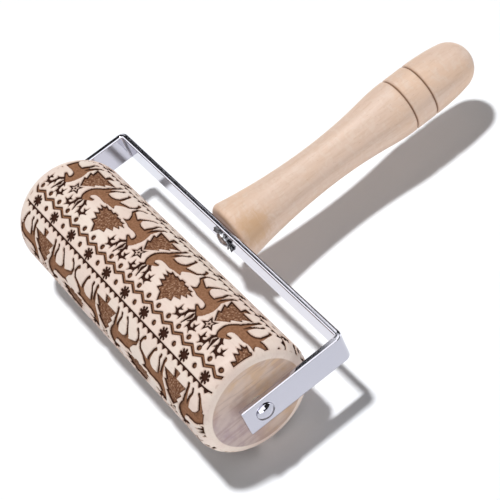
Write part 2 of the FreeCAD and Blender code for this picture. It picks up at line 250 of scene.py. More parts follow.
def deer(u, v):
    """Deer beside the large tree with its head turned back; the rump is near the small tree."""
    body = curved([
        (6.6, 10.3), (5.1, 12.2), (4.1, 14.6), (4.2, 17.2), (5.0, 19.2), (6.8, 20.3), (8.6, 19.2),
        (10.9, 17.7), (10.5, 16.8), (8.4, 17.2), (7.9, 16.5), (8.7, 15.2), (10.8, 14.7),
        (14.4, 14.8), (16.9, 14.2), (20.0, 13.9), (18.7, 12.7), (18.9, 11.0), (17.8, 9.4),
        (15.0, 9.5), (12.8, 10.4), (9.8, 10.4)])
    near_fore = [(7.4, 11.0, 1.2), (7.7, 6.8, 0.85), (7.7, 4.2, 0.65), (7.4, 3.1, 0.75)]
    far_fore = [(9.2, 11.0, 1.1), (9.7, 6.8, 0.6), (10.6, 4.6, 0.5), (10.2, 3.3, 0.6)]
    near_hind = [(18.0, 10.6, 1.5), (19.8, 9.3, 0.95), (22.0, 8.2, 0.7), (22.8, 5.9, 0.6),
                 (22.0, 4.0, 0.55), (21.0, 3.2, 0.7)]
    far_hind = [(15.6, 10.2, 1.3), (16.2, 8.5, 0.85), (15.4, 6.1, 0.6), (14.6, 4.0, 0.5),
                (13.7, 3.1, 0.65)]
    legs = [stroke_distance(u, v, leg) for leg in (near_fore, far_fore, near_hind, far_hind)]
    return union(polygon_distance(u, v, body), *legs)


def leaves(points, side, length):
    """Pointed leaves on one side of a stroke, one for each of its segments."""
    lean, root_half_width, tip_half_width = math.radians(52), 0.5, 0.14
    strokes = []
    for (u0, v0, _), (u1, v1, _) in zip(points, points[1:]):
        turn = math.atan2(v1 - v0, u1 - u0) + side * lean
        root = (0.5 * (u0 + u1), 0.5 * (v0 + v1), root_half_width)
        tip = (u1 + length * math.cos(turn), v1 + length * math.sin(turn), tip_half_width)
        strokes.append([root, tip])
    return strokes


def antlers(u, v):
    """Two scrolls that lean apart, with leaf-shaped tines on both sides, and a tall bud between."""
    back = [(6.4, 19.9, 0.65), (5.5, 21.3, 0.6), (5.7, 22.9, 0.6), (5.0, 24.5, 0.6), (3.5, 24.9, 0.6),
            (2.5, 23.9, 0.5), (3.0, 22.9, 0.35)]
    front = [(8.8, 19.6, 0.65), (10.1, 20.8, 0.6), (10.2, 22.5, 0.6), (11.2, 24.2, 0.6), (12.9, 24.3, 0.6),
             (13.8, 23.1, 0.5), (13.2, 22.1, 0.35)]
    bud = [(7.6, 20.4, 0.4), (7.4, 21.9, 0.8), (7.8, 23.4, 0.45), (8.3, 25.4, 0.3)]
    inner, outer = 1.2, 1.6
    tines = leaves(back, 1, inner) + leaves(front, -1, inner)
    tines += leaves(back, -1, outer) + leaves(front, 1, outer)
    return union(*[stroke_distance(u, v, line) for line in [back, front, bud] + tines])


def zigzag(u, v):
    """Band that swings up and down twice for each flower."""
    pitch, middle, swing, half_width = FLOWER_PITCH / 2, 29.0, 0.95, 0.66
    across = fold(u - FLOWER_AT, pitch)
    low, high = (0.0, middle - swing, half_width), (pitch / 2, middle + swing, half_width)
    before = (-pitch / 2, middle + swing, half_width)
    beyond = (pitch, middle - swing, half_width)
    return stroke_distance(across, v, [before, low, high, beyond])


def flowers(u, v):
    """Eight petals round a solid middle."""
    petals, centre_v, middle_radius = 8, 32.5, 1.35
    root, tip = (0.6, 0.0, 0.25), (1.85, 0.0, 0.58)
    across, up = fold(u - FLOWER_AT, FLOWER_PITCH), v - centre_v
    reach = np.hypot(across, up)
    turn = fold(np.arctan2(up, across), 2 * math.pi / petals)
    petal = stroke_distance(reach * np.cos(turn), reach * np.sin(turn), [root, tip])
    return union(petal, reach - middle_radius)


def dots(u, v):
    """A row of drilled dots over the zigzag, and one between each two flowers."""
    radius, over_v, between_v = 1.05, 27.0, 32.3
    over = np.hypot(fold(u - FLOWER_AT - FLOWER_PITCH / 4, FLOWER_PITCH / 2), v - over_v)
    between = np.hypot(fold(u - FLOWER_AT - FLOWER_PITCH / 2, FLOWER_PITCH), v - between_v)
    return union(over, between) - radius


def border(u, v):
    """Thin line with small triangles that point up from it."""
    line_half_width, pitch, half_base, height = 0.36, FLOWER_PITCH / 4, 1.35, 1.7
    round_line = fold(v, ROW_HEIGHT)
    across = fold(u - FLOWER_AT, pitch)
    triangle = polygon_distance(across, v, [(-half_base, 0.0), (half_base, 0.0), (0.0, height)])
    return union(round_line - line_half_width, triangle)


def pattern(u, v, row):
    """Signed distance to the engraving of a numbered row, how burnt its floor is, and how mottled.

    The burn is 1 in the antlers, stars, flowers and borders, 0.5 in the drilled dots and 0 elsewhere.
    """
    beside_tree = fold(u - TREE_AT - ROW_SLIP * row, CELL)
    trees = union(large_tree(beside_tree, v), small_tree(beside_tree, v))
    plain = union(deer(beside_tree, v), zigzag(u, v))
    drilled = dots(u, v)
    burnt = union(antlers(beside_tree, v), star(beside_tree, v), flowers(u, v), border(u, v))
    distance = union(trees, plain, drilled, burnt)
    tone = np.where(burnt <= union(trees, plain, drilled), 1.0,
                    np.where(drilled <= union(trees, plain), 0.5, 0.0))
    fleck = np.where(trees <= union(plain, burnt, drilled), 1.0, 0.0)
    cut_off = np.maximum(PATTERN_LEFT - u, u - PATTERN_RIGHT)
    return np.maximum(distance, cut_off), tone, fleck


# ------------------------------------------------------------------ mesh helpers

MERGE_DISTANCE = 1e-4
SHARP_ANGLE = 40
CUT_SHARP_ANGLE = 32


def smooth_step(value, low, high):
    """Rise from 0 at low to 1 at high, level at both ends."""
    t = np.clip((value - low) / (high - low), 0, 1)
    return t * t * (3 - 2 * t)


def arc(centre, radius, start, end, count):
    """Points and outward directions on an arc, from start to end in degrees."""
    turn = np.radians(np.linspace(start, end, count))
    outward = np.stack([np.cos(turn), np.sin(turn)], 1)
    return np.array(centre) + radius * outward, outward


def straight(start, end, count, outward):
    """Points on a straight run, all with the same outward direction."""
    points = np.linspace(start, end, count)
    return points, np.tile(np.array(outward, float), (count, 1))


def joined(parts):
    """Points and outward directions of several runs and arcs as one line."""
    return np.concatenate([part[0] for part in parts]), np.concatenate([part[1] for part in parts])


def mesh_object(name, vertices, faces, sharp_angle=SHARP_ANGLE):
    """Closed smooth-shaded mesh; vertices in the same place are merged."""
    mesh = bpy.data.meshes.new(name)
    mesh.from_pydata(np.asarray(vertices) * MM, [], faces)
    item = bpy.data.objects.new(name, mesh)
    bpy.context.scene.collection.objects.link(item)
    clean(mesh, sharp_angle)
    return item


def clean(mesh, sharp_angle):
    """Merge doubled vertices, turn the faces outwards and shade all but the sharp edges smooth."""
    work = bmesh.new()
    work.from_mesh(mesh)
    bmesh.ops.remove_doubles(work, verts=work.verts, dist=MERGE_DISTANCE * MM)
    bmesh.ops.recalc_face_normals(work, faces=work.faces)
    work.to_mesh(mesh)
    work.free()
    mesh.shade_smooth()
    mesh.set_sharp_from_angle(angle=math.radians(sharp_angle))


def store(item, name, values):
    """Keep one number per vertex for the material."""
    attribute = item.data.attributes.new(name, "FLOAT", "POINT")
    attribute.data.foreach_set("value", np.asarray(values, np.float32).ravel())


def ring_faces(rows, columns, closed_rows):
    """Quads between rings of vertices."""
    row = np.arange(rows if closed_rows else rows - 1)[:, None]
    column = np.arange(columns)[None, :]
    after_row, after_column = (row + 1) % rows, (column + 1) % columns
    quads = np.stack([row * columns + column, row * columns + after_column,
                      after_row * columns + after_column, after_row * columns + column], -1)
    return quads.reshape(-1, 4).tolist()


def lathe(name, profile, axis, steps):
    """Turn a half section of (along, radius) points about the X or the Y axis."""
    along, radius = np.array(profile, float).T[:, :, None]
    turn = np.arange(steps) * 2 * math.pi / steps
    across, up = radius * np.sin(turn), radius * np.cos(turn)
    along = along + 0 * turn
    places = (along, across, up) if axis == "x" else (across, along, up)
    return mesh_object(name, np.stack(places, -1).reshape(-1, 3), ring_faces(len(profile), steps, False))


def apply_modifiers(item):
    """Replace the mesh with what its modifiers make of it."""
    evaluated = item.evaluated_get(bpy.context.evaluated_depsgraph_get())
    item.data = bpy.data.meshes.new_from_object(evaluated)
    item.modifiers.clear()


def finish_mesh(item, cutters=()):
    """Cut the cutters out, then even out the shading so that flat faces look flat."""
    for cutter in cutters:
        cutting = item.modifiers.new("cut", "BOOLEAN")
        cutting.object = cutter
        cutting.solver = "EXACT"
    apply_modifiers(item)
    for cutter in cutters:
        bpy.data.objects.remove(cutter)
    clean(item.data, CUT_SHARP_ANGLE)
    item.modifiers.new("even", "WEIGHTED_NORMAL").keep_sharp = True
    apply_modifiers(item)
    return item


# ------------------------------------------------------------------ pieces


def barrel_profile():
    """Whole section of one side of the barrel as (x, r) points with outward directions."""
    left_x, right_x = LEFT_ROUND - BARREL_END, BARREL_END - RIGHT_ROUND
    left_r, right_r = BARREL_RADIUS - LEFT_ROUND, BARREL_RADIUS - RIGHT_ROUND
    floor = BARREL_END - SOCKET_DEPTH
    left_face_count, left_round_count, right_face_count = 8, 40, 14
    body_count = round((right_x - left_x) / GRID)
    right_round_count = round(RIGHT_ROUND * math.pi / 2 / GRID)
    parts = [
        straight((-BARREL_END, SOCKET_RADIUS), (-BARREL_END, left_r), left_face_count, (-1, 0)),
        arc((left_x, left_r), LEFT_ROUND, 180, 90, left_round_count),
        straight((left_x, BARREL_RADIUS), (right_x, BARREL_RADIUS), body_count, (0, 1)),
        arc((right_x, right_r), RIGHT_ROUND, 90, 0, right_round_count),
        straight((BARREL_END, right_r), (BARREL_END, SOCKET_RADIUS), right_face_count, (1, 0)),
        straight((floor, SOCKET_RADIUS), (floor, CORE_RADIUS), 2, (1, 0)),
        straight((-floor, CORE_RADIUS), (-floor, SOCKET_RADIUS), 2, (-1, 0)),
    ]
    points, outward = joined(parts)
    new = np.r_[True, np.linalg.norm(np.diff(points, axis=0), axis=1) > MERGE_DISTANCE / 100]
    return points[new], outward[new]


def make_barrel():
    """Turned barrel with the winter pattern cut into it; row 0 of the pattern is on top."""
    points, outward = barrel_profile()
    turn = np.arange(ROUND_STEPS) * 2 * math.pi / ROUND_STEPS
    outside = points[:, 1] > BARREL_RADIUS / 2
    along = np.r_[0, np.cumsum(np.linalg.norm(np.diff(points, axis=0), axis=1))]
    middle = np.argmin(np.where(outside, np.abs(points[:, 0]), BARREL_END))
    u = (along - along[middle] + points[middle, 0])[:, None] + 0 * turn
    v = (BARREL_RADIUS * turn - FIRST_LINE)[None, :] + 0 * u
    row = (v // ROW_HEIGHT + 1) % ROWS
    distance, tone, fleck = pattern(u, v % ROW_HEIGHT, row)
    distance = np.where(outside[:, None], np.clip(distance, -FAR_FROM_CUT, FAR_FROM_CUT), FAR_FROM_CUT)
    depth = CUT_DEPTH * (1 - smooth_step(distance, WALL_INNER, WALL_OUTER))
    x = points[:, :1] - depth * outward[:, :1]
    r = points[:, 1:] - depth * outward[:, 1:]
    vertices = np.stack([x, -r * np.sin(turn), r * np.cos(turn)], -1).reshape(-1, 3)
    piece = mesh_object("barrel", vertices, ring_faces(len(points), ROUND_STEPS, True))
    store(piece, "cut", distance)
    store(piece, "tone", tone)
    store(piece, "fleck", fleck)
    store(piece, "end_face", smooth_step(np.abs(outward[:, :1]), *FACING_END) + 0 * u)
    return piece


def strip_section():
    """Rounded section of the strip as (outward, up) points about its middle."""
    half, up, count = STRIP_THICKNESS / 2 - STRIP_EDGE, STRIP_HALF_WIDTH - STRIP_EDGE, 9
    corners = [((half, -up), -90), ((half, up), 0), ((-half, up), 90), ((-half, -up), 180)]
    return joined([arc(centre, STRIP_EDGE, start, start + 90, count) for centre, start in corners])[0]


def strip_path():
    """Middle line of the strip as (x, y) points with outward directions, arm to arm."""
    x, radius, bend_count = ARM_OUTSIDE - STRIP_THICKNESS / 2, BEND_RADIUS - STRIP_THICKNESS / 2, 17
    bend_x, bend_y = ARM_OUTSIDE - BEND_RADIUS, CROSSBAR_BACK - BEND_RADIUS
    parts = [
        straight((x, ARM_TAIL), (x, bend_y), 2, (1, 0)),
        arc((bend_x, bend_y), radius, 0, 90, bend_count),
        arc((-bend_x, bend_y), radius, 90, 180, bend_count),
        straight((-x, bend_y), (-x, ARM_TAIL), 2, (-1, 0)),
    ]
    return joined(parts)


def rod_cutter(name, near, far, radius, axis, steps):
    """Round bar that cuts a clearance hole for a rod or screw of the given radius."""
    hole = radius + HOLE_CLEARANCE
    return lathe(name, [(near, 0), (near, hole), (far, hole), (far, 0)], axis, steps)


def make_strip():
    """Chromed strip bent into a U, with its rivet holes and screw hole."""
    section = strip_section()
    places, outward = strip_path()
    shrink = 1 - STRIP_END_BEVEL / (STRIP_THICKNESS / 2)
    narrow = section * np.array([shrink, 1 - STRIP_END_BEVEL / STRIP_HALF_WIDTH])
    rings = []
    for (x, y), (out_x, out_y) in zip(places, outward):
        rings.append([(x + out * out_x, y + out * out_y, up) for out, up in section])
    for end, first in ((0, rings[0]), (-1, rings[-1])):
        x, y = places[end]
        side = outward[end][0]
        cap = [(x + out * side, y, up) for out, up in narrow]
        lifted = [(across, along + STRIP_END_BEVEL, up) for across, along, up in first]
        if end == 0:
            rings[0] = lifted
            rings.insert(0, cap)
        else:
            rings[-1] = lifted
            rings.append(cap)
    columns = len(section)
    faces = ring_faces(len(rings), columns, False)
    last = (len(rings) - 1) * columns
    faces += [list(range(columns)), list(range(last, last + columns))]
    piece = mesh_object("strip", np.concatenate(rings), faces)
    past_arm, before_bar, past_bar = ARM_OUTSIDE + 5, CROSSBAR_FRONT - 2, CROSSBAR_BACK + 2
    rivet_holes = rod_cutter("rivet_cutter", -past_arm, past_arm, ROD_RADIUS, "x", 96)
    screw_hole = rod_cutter("screw_cutter", before_bar, past_bar, SCREW_RADIUS, "y", 48)
    return finish_mesh(piece, [rivet_holes, screw_hole])


def dome(side):
    """Half section of a domed rivet head outside an arm, from its rim to the crown."""
    rise = HEAD_CROWN - ARM_OUTSIDE - HEAD_RIM
    sphere = (HEAD_RADIUS ** 2 + rise ** 2) / (2 * rise)
    dome_radius, rim_height, count = HEAD_RADIUS - 0.02, HEAD_RIM - 0.05, 24
    spread = math.degrees(math.asin(dome_radius / sphere))
    crown, _ = arc((HEAD_CROWN - sphere, 0), sphere, spread, 0, count)
    rim = [(ARM_OUTSIDE, HEAD_RADIUS - HEAD_EDGE), (ARM_OUTSIDE + HEAD_EDGE, HEAD_RADIUS),
           (ARM_OUTSIDE + rim_height, HEAD_RADIUS)]
    return [(side * along, radius) for along, radius in rim + crown.tolist()]


def make_rod():
    """Axle rod with its formed head outside the +X arm."""
    tail, bevel = rod_low.x, 0.3
    shaft = [(tail, 0), (tail, ROD_RADIUS - bevel), (tail + bevel, ROD_RADIUS), (ARM_OUTSIDE, ROD_RADIUS)]
    return finish_mesh(lathe("rod", shaft + dome(1), "x", RIVET_STEPS))


def make_rivet_cap():
    """Domed cap over the rod's tail outside the -X arm."""
    floor = rod_low.x
    profile = [(floor, 0), (floor, ROD_RADIUS), (-ARM_OUTSIDE, ROD_RADIUS)] + dome(-1)
    return finish_mesh(lathe("rivet_cap", profile, "x", RIVET_STEPS))


def upright_arc(heights, peak, radius, middle):
    """(y, r) points on an arc that is upright at the middle height; a negative radius is hollow."""
    bulge = math.copysign(1.0, radius)
    return [(y, peak - radius + bulge * math.sqrt(radius ** 2 - (y - middle) ** 2)) for y in heights]


def grip_band(low, high):
    """(y, r) points along the plain band with its two vee grooves, closely set near each groove."""
    points = []
    for groove in GROOVES:
        for offset in np.linspace(-1.5, 1.5, 25) * GROOVE_WIDTH:
            sink = max(0.0, GROOVE_DEPTH * (1 - abs(offset) / (GROOVE_WIDTH / 2)))
            if low - MERGE_DISTANCE <= groove + offset <= high + MERGE_DISTANCE:
                points.append((groove + offset, GRIP_RADIUS - sink))
    return points


def handle_profile():
    """Half section of the turned handle as (y, r) points, in tangent arcs as on a lathe."""
    low, high = GROOVES[0] - GROOVE_WIDTH / 2, GROOVES[1] + GROOVE_WIDTH / 2
    nose_y = HANDLE_TIP - CROSSBAR_BACK - NOSE_RADIUS
    long_count, hollow_count, short_count, round_count = 40, 24, 14, 9

    step = BASE_RADIUS - WAIST_RADIUS
    flare = (WAIST_HEIGHT ** 2 + step ** 2) / (2 * step)
    step, rise = GRIP_RADIUS - WAIST_RADIUS, low - WAIST_HEIGHT
    both = (step ** 2 + rise ** 2) / (2 * step)
    hollow = both * (SWELL_HEIGHT - WAIST_HEIGHT) / rise
    drop, rise = GRIP_RADIUS - NOSE_RADIUS, nose_y - high
    taper = (drop ** 2 + rise ** 2) / (2 * drop) + NOSE_RADIUS
    lean = math.asin(rise / (taper - NOSE_RADIUS))
    taper_end = high + taper * math.sin(lean)

    foot = upright_arc([BASE_ROUND], WAIST_RADIUS, -flare, WAIST_HEIGHT)[0][1]
    base, _ = arc((BASE_ROUND, foot - BASE_ROUND), BASE_ROUND, 180, 90, round_count)
    nose, _ = arc((nose_y, 0), NOSE_RADIUS, 90 - math.degrees(lean), 0, long_count)
    to_waist = np.linspace(BASE_ROUND, WAIST_HEIGHT, long_count)[1:]
    to_swell = np.linspace(WAIST_HEIGHT, SWELL_HEIGHT, hollow_count)[1:]
    to_band = np.linspace(SWELL_HEIGHT, low, short_count)[1:-1]
    to_nose = np.linspace(high, taper_end, short_count)[1:-1]
    points = [(0.0, SCREW_RADIUS)] + base.tolist()
    points += upright_arc(to_waist, WAIST_RADIUS, -flare, WAIST_HEIGHT)
    points += upright_arc(to_swell, WAIST_RADIUS, -hollow, WAIST_HEIGHT)
    points += upright_arc(to_band, GRIP_RADIUS, both - hollow, low)
    points += grip_band(low, high)
    points += upright_arc(to_nose, GRIP_RADIUS, taper, high)
    points += nose.tolist()
    return [(CROSSBAR_BACK + y, r) for y, r in points]


def make_handle():
    """Turned handle with two burnt grooves, painted shade at its foot and the screw's pilot hole."""
    tip = screw_high.y
    pilot = [(tip, 0.0), (tip - SCREW_POINT, SCREW_RADIUS)]
    piece = lathe("handle_turned", pilot + handle_profile(), "y", 160)
    heights = np.array([vertex.co.y for vertex in piece.data.vertices]) / MM - CROSSBAR_BACK
    away = np.minimum.reduce([np.abs(heights - groove) for groove in GROOVES])
    groove_char = 1 - smooth_step(away, 0.05, GROOVE_CHAR_REACH)
    # Painted contact shade: the foot darkens towards the crossbar and goes into the burn attribute with
    # the grooves.
    foot_shade = 0.6 * (1 - smooth_step(heights, 0.0, FOOT_SHADE_REACH))
    store(piece, "burn", groove_char + foot_shade)
    return piece


def make_screw():
    """Pan-head screw with a cross recess; its shank is in the handle."""
    seat, crown, point = lock_low.y, screw_low.y, screw_high.y
    rim = seat - SCREW_HEAD_RIM
    rise = rim - crown
    sphere = (SCREW_HEAD_RADIUS ** 2 + rise ** 2) / (2 * rise)
    spread = math.degrees(math.asin(SCREW_HEAD_RADIUS / sphere))
    top, _ = arc((-crown - sphere, 0), sphere, 0, spread, 16)
    head = [(-along, radius) for along, radius in top.tolist()]
    shank = [(seat, SCREW_HEAD_RADIUS), (seat, SCREW_RADIUS), (point - SCREW_POINT, SCREW_RADIUS),
             (point, 0)]
    piece = lathe("screw", head + shank, "y", 72)
    cutters = []
    for span_x, span_z in ((RECESS_SPAN, RECESS_SLOT), (RECESS_SLOT, RECESS_SPAN)):
        corners = []
        for y, taper in ((crown - 1, RECESS_MOUTH), (crown + RECESS_DEPTH, RECESS_FLOOR)):
            corners += [(sx * span_x / 2 * taper, y, sz * span_z / 2 * taper)
                        for sx, sz in ((-1, -1), (1, -1), (1, 1), (-1, 1))]
        faces = [(0, 1, 2, 3), (4, 5, 6, 7)]
        faces += [(k, (k + 1) % 4, (k + 1) % 4 + 4, k + 4) for k in range(4)]
        cutters.append(mesh_object("slot_cutter", corners, faces))
    return finish_mesh(piece, cutters)


def make_lock_washer():
    """Toothed washer whose teeth are twisted out of the ring's plane."""
    front, back = lock_low.y, lock_high.y
    pitch = 2 * math.pi / LOCK_TEETH
    root, tip = LOCK_ROOT / 2 / LOCK_RING_RADIUS, LOCK_TIP / 2 / LOCK_RADIUS
    gap = pitch - 2 * root
    outline = []
    for tooth in range(LOCK_TEETH):
        middle = tooth * pitch
        outline += [(middle - root, LOCK_RING_RADIUS, 0.0), (middle - tip, LOCK_RADIUS, LOCK_TWIST),
                    (middle + tip, LOCK_RADIUS, 0.0), (middle + root, LOCK_RING_RADIUS, 0.0)]
        outline += [(middle + root + gap * step / 3, LOCK_RING_RADIUS, 0.0) for step in (1, 2)]
    turn, outer, twist = np.array(outline).T
    inner = np.full(len(turn), SCREW_RADIUS + HOLE_CLEARANCE)
    ring = np.full(len(turn), LOCK_RING_RADIUS - LOCK_RING_STEP)
    rows = [(inner, front, 0), (ring, front, 0), (outer, front, 1),
            (outer, back, 1), (ring, back, 0), (inner, back, 0)]
    places = [np.stack([radius * np.sin(turn), y - twist * twisted, radius * np.cos(turn)], -1)
              for radius, y, twisted in rows]
    faces = ring_faces(len(rows), len(turn), True)
    return mesh_object("toothed_washer", np.concatenate(places), faces, LOCK_SHARP_ANGLE)


# ------------------------------------------------------------------ shader helpers


class Nodes:
    """Short calls that add nodes to one node tree."""

    def __init__(self, tree):
        self.tree = tree

    def put(self, socket, source):
        if isinstance(source, bpy.types.NodeSocket):
            self.tree.links.new(source, socket)
        else:
            socket.default_value = source

    def node(self, kind, settings=None, inputs=None):
        item = self.tree.nodes.new(kind)
        for name, setting in (settings or {}).items():
            setattr(item, name, setting)
        for name, source in (inputs or {}).items():
            self.put(item.inputs[name], source)
        return item

    def math(self, operation, first, second=0.0):
        return self.node("ShaderNodeMath", {"operation": operation}, {0: first, 1: second}).outputs[0]

    def span(self, value, low, high, to_low=0.0, to_high=1.0, smooth=True):
        """Map a range of values to another range and hold it at both ends."""
        kind = "SMOOTHSTEP" if smooth else "LINEAR"
        inputs = {"Value": value, "From Min": low, "From Max": high, "To Min": to_low, "To Max": to_high}
        return self.node("ShaderNodeMapRange", {"interpolation_type": kind}, inputs).outputs[0]

    def mix_value(self, share, first, second):
        inputs = {0: share, 2: first, 3: second}
        return self.node("ShaderNodeMix", {"data_type": "FLOAT"}, inputs).outputs[0]


class Shader(Nodes):
    """One material with a principled surface."""

    def __init__(self, name):
        self.material = bpy.data.materials.new(name)
        self.material.use_nodes = True
        super().__init__(self.material.node_tree)
        self.surface = next(node for node in self.tree.nodes if node.type == "BSDF_PRINCIPLED")

    def set(self, **inputs):
        for name, source in inputs.items():
            self.put(self.surface.inputs[name.replace("_", " ")], source)

    def place(self, stretch=(1, 1, 1)):
        """Object coordinates in millimetres, squeezed along the given axes."""
        coordinates = self.node("ShaderNodeTexCoord").outputs["Object"]
        scale = [factor / MM for factor in stretch]
        return self.node("ShaderNodeMapping", inputs={"Vector": coordinates, "Scale": scale}).outputs[0]

    def noise(self, place, size, detail=3.0, roughness=0.5, distortion=0.0):
        """Noise whose blotches are about size millimetres across."""
        inputs = {"Vector": place, "Scale": 1 / size, "Detail": detail, "Roughness": roughness,
                  "Distortion": distortion}
        return self.node("ShaderNodeTexNoise", inputs=inputs).outputs["Fac"]

    def cells(self, place, size):
        """Distance to the nearest of many scattered points, 0 at a point."""
        inputs = {"Vector": place, "Scale": 1 / size}
        return self.node("ShaderNodeTexVoronoi", inputs=inputs).outputs["Distance"]

    def away_from(self, place, centre):
        """Distance from a named place, in the millimetres of the given coordinates."""
        inputs = {0: place, 1: centre}
        return self.node("ShaderNodeVectorMath", {"operation": "DISTANCE"}, inputs).outputs["Value"]

    def mix(self, share, first, second):
        item = self.node("ShaderNodeMix", {"data_type": "RGBA"})
        self.put(item.inputs[0], share)
        for socket, colour in ((item.inputs[6], first), (item.inputs[7], second)):
            self.put(socket, colour if isinstance(colour, bpy.types.NodeSocket) else (*colour, 1.0))
        return item.outputs[2]

    def attribute(self, name):
        return self.node("ShaderNodeAttribute", {"attribute_name": name}).outputs["Fac"]

    def bump(self, height, strength, distance):
        inputs = {"Height": height, "Strength": strength, "Distance": distance * MM}
        return self.node("ShaderNodeBump", inputs=inputs).outputs[0]


# ------------------------------------------------------------------ materials


def wood_rings(shader, squeeze, heart, spacing):
    """Growth rings round a heart line that lies outside the piece, gently wandering."""
    place = shader.place(squeeze)
    wander = shader.noise(place, 26.0, detail=2.0)
    reach = shader.away_from(place, heart)
    phase = shader.math("ADD", shader.math("DIVIDE", reach, spacing), shader.math("MULTIPLY", wander, 2.0))
    wave = shader.math("SINE", shader.math("MULTIPLY", phase, 2 * math.pi))
    return shader.span(wave, -1.0, 1.0)


def sanded_side(shader, rings, fibre):
    """Pale beech along the grain: faint rings, paler clouds, brown fibres and dark pores."""
    pale, ringed, creamy = (0.74, 0.60, 0.53), (0.70, 0.56, 0.49), (0.76, 0.65, 0.57)
    fibre_brown, pore_brown = (0.55, 0.41, 0.34), (0.40, 0.26, 0.20)
    broad = shader.noise(shader.place((0.5, 1.0, 1.0)), 15.0, detail=3.0)
    pores = shader.cells(shader.place((0.16, 1.0, 1.0)), 0.8)
    colour = shader.mix(shader.math("MULTIPLY", rings, 0.6), pale, ringed)
    colour = shader.mix(shader.span(broad, 0.35, 0.65), colour, creamy)
    colour = shader.mix(shader.span(fibre, 0.45, 0.8, 0.0, 0.30), colour, fibre_brown)
    return shader.mix(shader.span(pores, 0.16, 0.08, 0.0, 0.25), colour, pore_brown)


def end_grain(shader, rings):
    """Darker end face that turns from mauve by one side to tan, with pale clouds and rays."""
    mauve, tan, clouded = (0.40, 0.305, 0.315), (0.57, 0.395, 0.27), (0.60, 0.49, 0.44)
    ring_brown, ray_brown = (0.38, 0.28, 0.25), (0.34, 0.24, 0.22)
    mauve_place = (BARREL_END, -15.0, -6.0)
    away = shader.span(shader.away_from(shader.place(), mauve_place), 6.0, 24.0)
    cloud = shader.noise(shader.place(), 7.0, detail=4.0)
    rays = shader.noise(shader.place((1.0, 0.12, 1.4)), 1.6, detail=3.0)
    colour = shader.mix(away, mauve, tan)
    colour = shader.mix(shader.span(cloud, 0.38, 0.60, 0.0, 0.6), colour, clouded)
    colour = shader.mix(shader.math("MULTIPLY", rings, 0.14), colour, ring_brown)
    return shader.mix(shader.span(rays, 0.48, 0.62, 0.0, 0.40), colour, ray_brown)


def engraved_floor(shader, cut, speckle):
    """Charred floor of the cuts, mottled in the trees, and darkest by the walls: partly burn and partly
    painted shade.
    """
    brown, light_brown, seed_tan = (0.21, 0.098, 0.052), (0.29, 0.148, 0.084), (0.36, 0.215, 0.14)
    char, light_char = (0.12, 0.050, 0.027), (0.23, 0.115, 0.066)
    burnt_black, wall_char_and_shade = (0.040, 0.015, 0.009), (0.034, 0.012, 0.007)
    seeds = shader.cells(shader.place((1.0, 0.7, 0.7)), 0.85)
    plain = shader.mix(shader.span(speckle, 0.35, 0.65), brown, light_brown)
    charred = shader.mix(shader.span(speckle, 0.42, 0.58), char, light_char)
    mottled = shader.mix(shader.span(seeds, 0.42, 0.20), charred, seed_tan)
    colour = shader.mix(shader.attribute("fleck"), plain, mottled)
    colour = shader.mix(shader.attribute("tone"), colour, burnt_black)
    # Painted shade mixed with real burn: the floor darkens towards the walls of each cut.
    by_wall = shader.span(cut, -0.62, -0.16)
    return shader.mix(shader.math("MULTIPLY", by_wall, 0.94), colour, wall_char_and_shade)


def barrel_material():
    """Sanded beech with charred engraving, painted shade by the walls of the cuts, and a scorched edge
    round each cut.
    """
    shader = Shader("engraved_beech")
    scorch_brown = (0.36, 0.20, 0.13)
    rings = wood_rings(shader, (0.02, 1.0, 1.0), (0.0, 18.0, -46.0), 3.1)
    fibre = shader.noise(shader.place((0.10, 1.0, 1.0)), 0.9, detail=4.0, roughness=0.6)
    speckle = shader.noise(shader.place(), 0.8, detail=3.0, roughness=0.7)
    cut = shader.attribute("cut")
    side = sanded_side(shader, rings, fibre)
    land = shader.mix(shader.attribute("end_face"), side, end_grain(shader, rings))
    land = shader.mix(shader.span(cut, 0.50, 0.0, 0.0, 0.42), land, scorch_brown)
    inside = shader.span(cut, 0.03, -0.07)
    shader.set(Base_Color=shader.mix(inside, land, engraved_floor(shader, cut, speckle)))
    shader.set(Specular_IOR_Level=shader.span(cut, -0.1, 0.1, 0.06, 0.24))
    shader.set(Roughness=shader.span(cut, -0.1, 0.1, 0.85, 0.52))
    height = shader.math("ADD", fibre, shader.math("MULTIPLY", speckle, 0.5))
    shader.set(Normal=shader.bump(height, 0.25, 0.08))
    return shader.material


